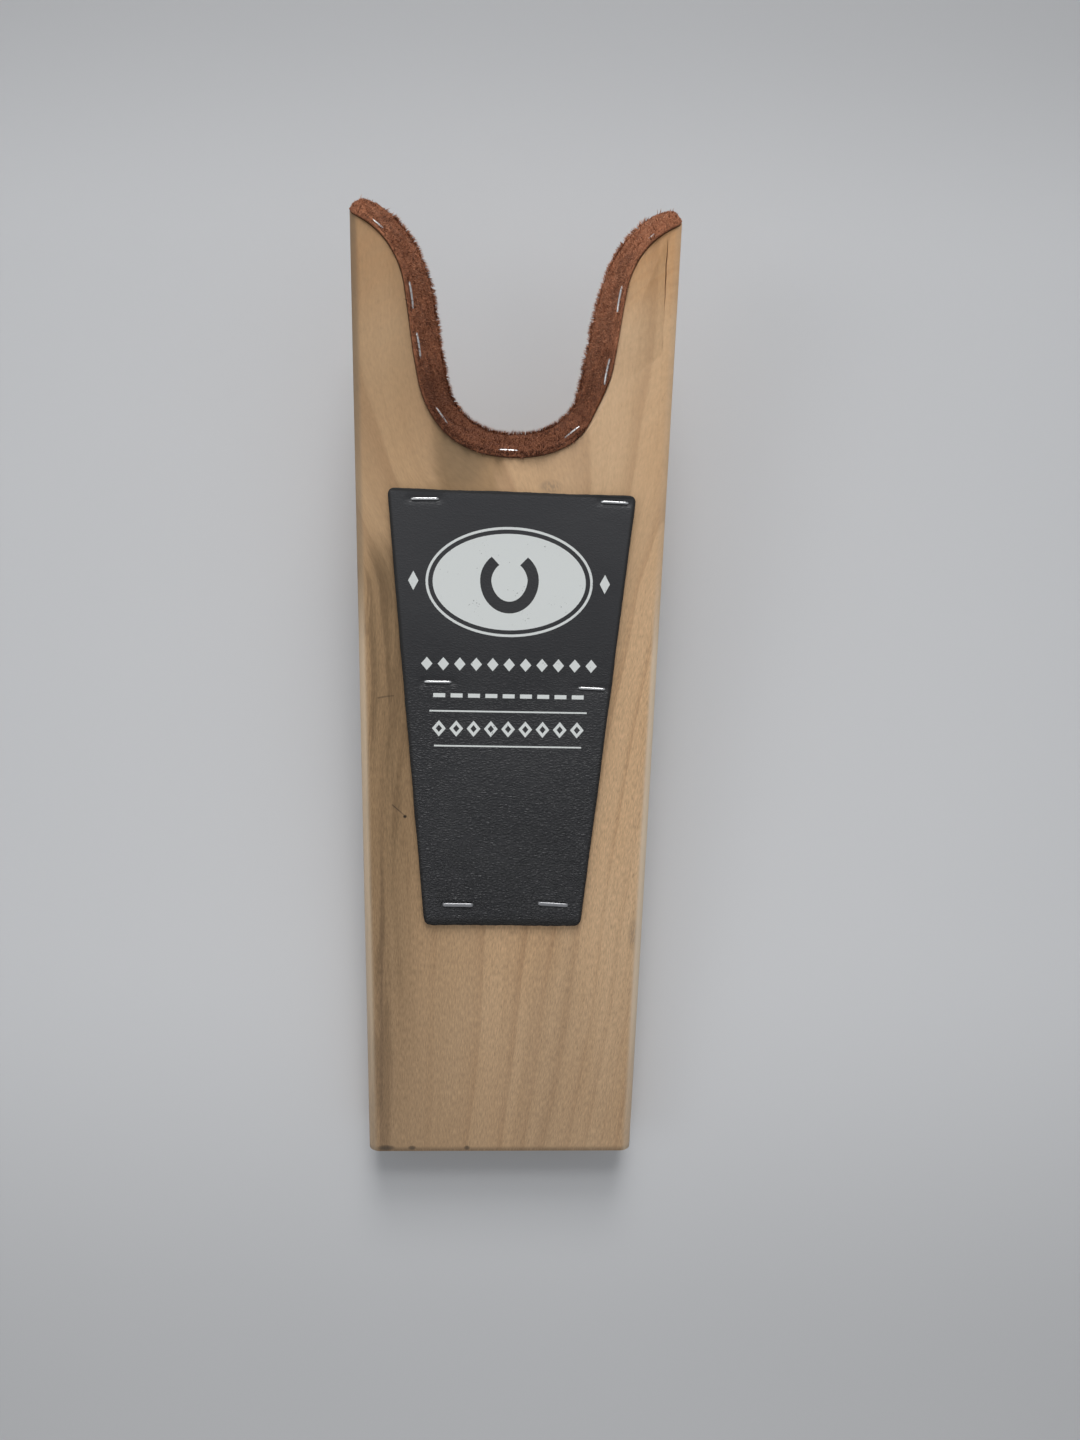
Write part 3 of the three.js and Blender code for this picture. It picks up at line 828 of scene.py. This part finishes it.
class PadTop:
    """Height of the pad's upper face over the board."""

    def __init__(self, places):
        self.crowns = [(place.inverted(), kind["crown"]) for kind, place in places]

    def __call__(self, x, y):
        height = PAD_TOP + 0.06 * MM * noise.noise(Vector((x * 55, y * 55, 0.4)))
        height -= 0.45 * MM * smooth((PAD_CORNERS[0].y + 4.5 * MM - y) / (4.5 * MM))
        for back, crown in self.crowns:
            gap = crown_gap(Vector((x, y, PAD_TOP)), back, crown)
            near = 0.42 * MM * math.exp(-(gap / (1.1 * MM)) ** 2)
            wide = 0.12 * MM * math.exp(-(gap / (4 * MM)) ** 2)
            height -= near + wide
        return height


def make_pad(leather, places):
    outline = pad_outline()
    top = PadTop(places)
    count = len(outline)
    inward = []
    for i in range(count):
        along = (outline[(i + 1) % count] - outline[i - 1]).normalized()
        inward.append(Vector((-along.y, along.x)))
    # the cut edge, from under the rim up over its soft shoulder, as insets and drops below the top face
    edge = [(0.15 * MM, PAD_TOP - THICK - 0.05 * MM), (0.0, 1.7 * MM), (0.02 * MM, 1.1 * MM)]
    for angle in (15, 35, 55, 75):
        turn = math.radians(angle)
        edge.append((PAD_SHOULDER * (1 - math.cos(turn)), PAD_SHOULDER * (1 - math.sin(turn))))
    rings = []
    for inset, drop in edge:
        ring = []
        for p, n in zip(outline, inward):
            spot = p + n * inset
            rough = lerp(0.05, 0.2, smooth((83 * MM - p.y) / (2 * MM))) * MM
            rough *= noise.noise(Vector((p.x * 900, p.y * 900, drop * 2000)))
            ring.append(Vector((spot.x + n.x * rough, spot.y + n.y * rough, top(spot.x, spot.y) - drop)))
        rings.append(ring)
    points, faces = loft(rings, closed_caps=False)
    rim = [p + n * PAD_SHOULDER for p, n in zip(outline, inward)]
    flat, triangles = fill_outline(rim, 1.3 * MM, staple_rows(places))
    start = len(points)
    points += [Vector((p.x, p.y, top(p.x, p.y))) for p in flat]
    faces += [tuple(start + i for i in t) for t in triangles]
    last = (len(rings) - 1) * count
    faces += [(last + i, last + (i + 1) % count, start + (i + 1) % count, start + i) for i in range(count)]
    faces.append(tuple(range(count)))
    pad = finish_piece(make_piece("foot_pad_leather", points, faces, leather), "pad_leather", "foot_pad")
    ink = make_print(top)
    sides = zip(PAD_CORNERS, PAD_CORNERS[1:] + PAD_CORNERS[:1])
    area = abs(sum(a.x * b.y - b.x * a.y for a, b in sides)) / 2


# ---------- printed ornament ----------

def oval(cx, cy, rx, ry, steps=72):
    turns = [2 * math.pi * i / steps for i in range(steps)]
    return [Vector((cx + rx * math.cos(t), cy + ry * math.sin(t))) for t in turns]


def diamond(cx, cy, wide, tall):
    corners = ((-1, 0), (0, -1), (1, 0), (0, 1))
    return [Vector((cx + a * wide / 2, cy + b * tall / 2)) for a, b in corners]


def bar(cx, cy, wide, tall):
    corners = ((-1, -1), (1, -1), (1, 1), (-1, 1))
    return [Vector((cx + a * wide / 2, cy + b * tall / 2)) for a, b in corners]


def horseshoe(cx, cy, size):
    """A shoe with its toe down and its heels drawn in at the top."""
    outer, inner = [], []
    steps = 40
    for i in range(steps + 1):
        angle = math.radians(lerp(-232, 52, i / steps))
        c, s = math.cos(angle), math.sin(angle)
        tall = 1.12 if s < 0 else 1.0
        outer.append(Vector((cx + size * c, cy + size * tall * s)))
        wall = 0.62 - 0.06 * abs(s)
        inner.append(Vector((cx + size * wall * c, cy + size * (wall + 0.08) * tall * s)))
    return outer + inner[::-1]


def slab(points, faces, loops, top):
    """A thin closed sheet of ink inside the first loop and outside the others, lying on the leather."""
    rise, sink, spacing = 0.03 * MM, 0.05 * MM, 1.6 * MM
    flat = [p for loop in loops for p in loop]
    edges, first = [], 0
    for loop in loops:
        edges += [(first + i, first + (i + 1) % len(loop)) for i in range(len(loop))]
        first += len(loop)
    xs, ys = [p.x for p in flat], [p.y for p in flat]
    for i in range(1, int((max(xs) - min(xs)) / spacing)):
        for j in range(1, int((max(ys) - min(ys)) / spacing)):
            spot = Vector((min(xs) + i * spacing, min(ys) + j * spacing))
            if in_loops(spot, loops) and min((spot - p).length for p in flat) > 0.4 * spacing:
                flat.append(spot)
    made = delaunay_2d_cdt(flat, edges, [], 0, 1e-9)
    spots = made[0]
    kept = [f for f in made[2] if in_loops(sum((spots[i] for i in f), Vector((0, 0))) / 3, loops)]
    start = len(points)
    for height in (rise, -sink):
        points += [Vector((p.x, p.y, top(p.x, p.y) + height)) for p in spots]
    below = start + len(spots)
    sides = {}
    for f in kept:
        faces.append(tuple(start + i for i in f))
        faces.append(tuple(below + i for i in reversed(f)))
        sides.update({side: True for side in zip(f, f[1:] + f[:1])})
    faces += [(start + b, start + a, below + a, below + b) for a, b in sides if (b, a) not in sides]


def in_loops(spot, loops):
    return inside(spot, loops[0]) and not any(inside(spot, loop) for loop in loops[1:])


def print_loops():
    """An oval with a horseshoe left bare in it and a fine line round it, over rows of diamonds and bars."""
    cx, cy = -0.4, 191.5
    shapes = [[oval(cx, cy, 24, 15), horseshoe(cx, cy + 0.6, 9.2)]]
    shapes.append([oval(cx, cy, 26.2, 17.1, 96), oval(cx, cy, 25.4, 16.3, 96)])
    shapes += [[diamond(cx + side * 30, cy, 3.2, 6.0)] for side in (-1, 1)]
    shapes += [[diamond(-26 + 5.2 * i, 165.6, 3.6, 4.2)] for i in range(11)]
    shapes += [[bar(-22 + 5.5 * i, 155.6, 3.8, 1.3)] for i in range(9)]
    shapes += [[bar(0, 150.6, 50, 0.5)], [bar(0, 139.4, 47, 0.5)]]
    for i in range(9):
        shapes.append([diamond(-22 + 5.5 * i, 145, 4.4, 5.2), diamond(-22 + 5.5 * i, 145, 2.0, 2.4)])
    return [[[p * MM for p in loop] for loop in loops] for loops in shapes]


def make_print(top):
    points, faces = [], []
    for loops in print_loops():
        slab(points, faces, loops, top)
    return finish_piece(make_piece("foot_pad_print", points, faces, ink_paint(), sharp=30), "pad_leather")


# ---------- suede lining ----------

def lining_edges(q):
    """Heights of the strip's two edges. Its lower corners are trimmed off. The upper edge was cut by hand: it
    stands proud in the throat, runs low to the right of it, and follows the round-overs at the tips."""
    to_end = (3 - abs(q)) / 6
    low = LINING_RISE + 4.5 * MM * max(0.0, 1 - to_end / 0.06) ** 2
    low += 0.2 * MM * noise.noise(Vector((q * 5.3, 8.1, 0)))
    proud = 0.25 * MM * smooth((q + 1.35) / 0.5) * smooth((0.5 - q) / 0.4)
    bare = 3.3 * MM * math.exp(-((q - 0.8) / 0.2) ** 2)
    over = min(max(abs(wall_point(q, THICK).x) - 46.7 * MM, 0.0), TOP_ROUND)
    sunk = TOP_ROUND - math.sqrt(TOP_ROUND ** 2 - over ** 2)
    waver = 0.22 * MM * noise.noise(Vector((q * 3.1, 0.7, 2.0)))
    waver += 0.1 * MM * noise.noise(Vector((q * 23, 5.7, 1.0)))
    return low, THICK + LINING_PROUD + proud - bare - 0.8 * sunk + waver


def lining_flare(q):
    """How far the strip's lower edge stands off the wall below its staples, and how much thicker its ends
    are. The right flank was pulled in closer."""
    right = smooth(q / 0.6)
    at_end = smooth((abs(q) - lerp(1.9, 1.7, right)) / 0.5)
    throat = smooth(1 - abs(q) / 1.1)
    stands = lerp(1.1, 0.7, throat) - 0.3 * right - lerp(0.5, 0.8, right) * at_end
    stands -= 0.45 * math.exp(-((q - 0.75) / 0.35) ** 2)
    thicker = 1.0 * smooth((-q - 2.65) / 0.3) + 1.2 * smooth((q - 2.68) / 0.25)
    return stands * MM, thicker * MM


def lining_section(low, high, steps, q):
    """One cross section of the strip, as heights and depths off the wall, up the face and down the back. The
    staples draw the upper edge in, so that the face slopes back to a thin rounded lip."""
    flare, thicker = lining_flare(q)
    run = []
    for i in range(steps + 1):
        z = lerp(low + 0.35 * MM, high - 0.3 * MM, i / steps)
        drawn = 0.55 * MM * smooth(1 - (high - z) / (3.2 * MM))
        drawn += 0.2 * MM * smooth(1 - (z - low) / (1.5 * MM))
        stood = flare * smooth(1 - (z - low) / (13 * MM))
        run.append((z, LINING_FACE - drawn + stood + thicker * smooth((high - z) / (2.5 * MM))))
    lip = run[-1][1]
    run += [(high - 0.12 * MM, lip - 0.12 * MM), (high, lip - 0.4 * MM), (high, 0.75 * MM),
            (high - 0.1 * MM, 0.45 * MM)]
    for t in (0.03, 0.2, 0.4, 0.6, 0.8, 0.97):
        run.append((lerp(high, low, t), 0.3 * MM + 0.7 * flare * smooth((t - 0.3) / 0.65)))
    run += [(low, 0.5 * MM + 0.7 * flare), (low, 1.1 * MM + 0.8 * flare),
            (low + 0.06 * MM, LINING_FACE - 0.5 * MM + flare)]
    return run


def make_lining(suede, places):
    table = arc_table(THICK, LINING_FACE, -3.05, 3.045)
    along_steps, up_steps = 520, 52
    backs = [place.inverted() for place in places]
    rings = []
    for i in range(along_steps + 1):
        share = i / along_steps
        q = q_at(share, table)
        low, high = lining_edges(q)
        ending = min(share * table[2] / (1.2 * MM), (1 - share) * table[2] / (0.6 * MM), 1)
        rounded = 1 - math.sqrt(1 - (1 - ending) ** 2)
        ring = []
        for z, depth in lining_section(low, high, up_steps, q):
            z = lerp(z, (low + high) / 2, 0.05 * rounded)
            depth = lerp(depth, 0.9 * MM, 0.6 * rounded)
            spot = lined_point(q, z, depth)
            if depth > 0.6 * MM and len(ring) <= up_steps + 2:
                fuzz = 0.1 * MM * noise.noise(spot * 900) + 0.09 * MM * noise.noise(spot * 300)
                dent = min(crown_gap(spot, back) for back in backs)
                fuzz -= 0.5 * MM * math.exp(-(dent / (0.9 * MM)) ** 2)
                spot += wall_inward(q, z) * fuzz
            ring.append(spot)
        rings.append(ring)
    points, faces = loft(rings)
    lining = make_piece("notch_lining_suede", points, faces, suede)
    finish_piece(lining, "suede", "notch_lining")
    nap = make_nap(lining, [fibre_paint("nap_" + tone, color) for tone, color in NAP_TONES.items()], backs)


def make_nap(lining, paints, backs):
    """Closed fibres on the suede: a short brushed nap all over its face, and loose longer hairs on its cut
    edges."""
    rng = random.Random(11)
    faces_in, edges_in = Chooser(), Chooser()
    for face in lining.data.polygons:
        if face.normal.dot(wall_side(face.center)) < -0.5 or face.area > 4e-6:
            continue
        faces_in.add(face, face.area)
        edges_in.add(face, face.area * hair_share(face.center))
    points, faces, shades = [], [], []
    for k in range(NAP_FIBRES + LOOSE_HAIRS):
        hair = k >= NAP_FIBRES
        root, out = (edges_in if hair else faces_in).spot(lining.data, rng)
        if min(crown_gap(root, back) for back in backs) < 0.4 * MM:
            continue
        side = out.cross(Vector((0, 0, 1)))
        side = side.normalized() if side.length > 0.1 else Vector((1, 0, 0))
        turn = 5 * noise.noise(root * 170) + rng.gauss(0, 0.5)
        brushed = side * math.cos(turn) + side.cross(out) * math.sin(turn)
        standing, lengths, radii = LOOSE_HAIR if hair else NAP_FIBRE
        pressed = 0.35 if not hair and root.z > THICK - 0.6 * MM else 1.0
        aim = (out * rng.uniform(*standing) * pressed + brushed * 0.8).normalized()
        long = rng.uniform(*lengths) * MM
        radius = rng.uniform(*radii) * MM
        if hair:
            add_hair(points, faces, root - out * 0.1 * MM, aim, long, radius, rng)
        else:
            add_spike(points, faces, root - out * 0.1 * MM, aim, long, radius)
        shades += [nap_shade(root, rng)] * (7 if hair else 4)
    nap = make_piece("notch_lining_nap", points, faces, None)
    for paint in paints:
        nap.data.materials.append(paint)
    for face, shade in zip(nap.data.polygons, shades):
        face.material_index = shade
    return finish_piece(nap, "suede")


def nap_shade(root, rng):
    """0 for dark, 1 for mid and 2 for light: worn dark in the throat, and painted light makes them lighter
    below and on the right.
    """
    worn = smooth((270 * MM - root.y) / (25 * MM))
    tone = 0.8 * noise.noise(root * 2000) + 0.5 * noise.noise(root * 260) + rng.gauss(0, 0.5) - 0.8 * worn
    # painted light: fibres on the lower cut edge and on the right flank are made lighter, as if lit
    tone += 0.3 if root.z < LOWER_CUT_EDGE else -0.25 if root.z > THICK - 0.8 * MM else 0.0
    tone += 0.35 * smooth((root.x - 8 * MM) / (20 * MM)) - 0.15
    return 0 if tone < -0.45 else 1 if tone < 0.4 else 2


def hair_share(spot):
    """How thick the long hairs grow: all along the lower cut edge, on the upper one mostly in the throat."""
    if spot.z < LOWER_CUT_EDGE:
        return 1.0
    if spot.z > THICK - 0.5 * MM:
        return lerp(0.1, 0.5, smooth((252 * MM - spot.y) / (12 * MM)))
    return 0.03


class Chooser:
    """Picks places on a set of faces, evenly by weight."""

    def __init__(self):
        self.faces, self.sums, self.total = [], [], 0.0

    def add(self, face, weight):
        self.total += weight
        self.faces.append(face)
        self.sums.append(self.total)

    def spot(self, mesh, rng):
        face = self.faces[bisect.bisect_left(self.sums, rng.uniform(0, self.total))]
        corners = [mesh.vertices[i].co for i in face.vertices]
        low, high = corners[0].lerp(corners[1], rng.random()), corners[-1].lerp(corners[-2], rng.random())
        return low.lerp(high, rng.random()), face.normal


def wall_side(spot):
    """Roughly the direction from the notch wall into the notch, at a place on the strip."""
    if spot.y < 250 * MM:
        return (Vector((0, 252 * MM, 0)) - Vector((spot.x, spot.y, 0))).normalized()
    return Vector((-math.copysign(0.95, spot.x), 0.3, 0))


def add_ring(points, centre, aim, radius):
    side = aim.orthogonal().normalized()
    other = aim.cross(side)
    for k in range(3):
        angle = 2 * math.pi * k / 3
        points.append(centre + (side * math.cos(angle) + other * math.sin(angle)) * radius)


def add_spike(points, faces, root, aim, long, radius):
    """A closed three-sided spike: a short tuft of the nap."""
    first = len(points)
    add_ring(points, root, aim, radius)
    points.append(root + aim * long)
    faces.append((first + 2, first + 1, first))
    faces += [(first + k, first + (k + 1) % 3, first + 3) for k in range(3)]


def add_hair(points, faces, root, aim, long, radius, rng):
    """A closed three-sided hair with one soft bend."""
    first = len(points)
    side = aim.orthogonal().normalized()
    bend = (side * rng.uniform(-1, 1) + aim.cross(side) * rng.uniform(-1, 1)) * long * 0.3
    add_ring(points, root, aim, radius)
    add_ring(points, root + aim * long * 0.5, aim, radius * 0.8)
    points.append(root + aim * long + bend)
    faces.append((first + 2, first + 1, first))
    for k in range(3):
        n = (k + 1) % 3
        faces.append((first + k, first + n, first + 3 + n, first + 3 + k))
        faces.append((first + 3 + k, first + 3 + n, first + 6))


# ---------- camera, light, floor ----------

def make_camera():
    """Over the pad, looking almost straight down, as in a snapshot from arm's length."""
    data = bpy.data.cameras.new("camera")
    data.lens = 27.04
    data.sensor_width = 36
    camera = bpy.data.objects.new("camera", data)
    bpy.context.scene.collection.objects.link(camera)
    place = Matrix.Translation((-5.9 * MM, 194.9 * MM, THICK + 344.1 * MM))
    turn = Euler((math.radians(-7.84), math.radians(-2.515), math.radians(1.26)), "XYZ")
    camera.matrix_world = JACK @ place @ turn.to_matrix().to_4x4()
    bpy.context.scene.camera = camera


def make_light(name, energy, place, aim, cone, radius, wide=1.0):
    """A soft round light whose beam fades out evenly from its middle. wide stretches the beam sideways."""
    data = bpy.data.lights.new(name, "SPOT")
    data.energy = energy
    data.spot_size = math.radians(cone)
    data.spot_blend = 1.0
    data.shadow_soft_size = radius
    light = bpy.data.objects.new(name, data)
    bpy.context.scene.collection.objects.link(light)
    light.location = place
    light.rotation_euler = (Vector(aim) - Vector(place)).to_track_quat("-Z", "Y").to_euler()
    light.scale = (wide, 1, 1)


def make_floor():
    paint = Paint("pale_floor", roughness=0.75, specular=0.25)
    color = paint.blend(paint.noise(paint.place, 9, 3.0), (0.6, 0.603, 0.612), (0.615, 0.617, 0.625))
    # painted shade: the floor darkens toward the near and far ends, as the light falls off
    y = paint.axes()[1]
    falloff_shade = paint.times(paint.ramp(y, -0.25, -0.08, 0.78, 1.0), paint.ramp(y, 0.16, 0.27, 1.0, 0.8))
    paint.set("Base Color", paint.node("HueSaturation", {"Color": color, "Value": falloff_shade}).outputs[0])
    half = 2.5
    corners = [(-half, -half, 0), (half, -half, 0), (half, half, 0), (-half, half, 0)]
    floor = make_piece("floor", corners, [(0, 1, 2, 3)], paint.material, Matrix.Identity(4))


def make_world():
    world = bpy.data.worlds.new("studio")
    world.use_nodes = True
    color, strength = world.node_tree.nodes["Background"].inputs[:2]
    color.default_value = (0.93, 0.96, 1.0, 1)
    strength.default_value = 0.42
    bpy.context.scene.world = world
    bpy.context.scene.view_settings.view_transform = "Standard"


def main():
    make_world()
    make_camera()
    make_floor()
    for i, (back, up) in enumerate(FAR_LIGHTS):
        make_light(f"far_side_{i + 1}", 113, (0.04, back, up), (0, -0.08, 0), 15.5, 0.5, 2.4)
    make_light("left_side", 14, (-1.15, 0.0, 0.95), (0, 0, 0), 36, 0.45)
    wood = wood_paint("pale_hardwood")
    make_board(wood)
    make_cleat(wood_paint("cleat_hardwood", board=False))
    wire = wire_paint("staple_steel")
    pad_places = {name: (kind, pad_place(name, turn)) for name, (kind, turn) in PAD_STAPLES.items()}
    make_pad(leather_paint(), list(pad_places.values()))
    lining_places = {f"lining_staple_{i + 1}": (FINE_WIRE, lining_place(*staple))
                     for i, staple in enumerate(LINING_STAPLES)}
    make_staples(wire, {**pad_places, **lining_places})
    slants = [place for _, place in lining_places.values()]
    make_lining(suede_paint("rust_suede"), slants)
    zinc = wire_paint("screw_zinc_plate", (0.68, 0.64, 0.5), 0.35)
    for name in ("cleat_screw_left", "cleat_screw_right"):
        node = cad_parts[name]
        node.data.materials.clear()
        node.data.materials.append(zinc)


main()
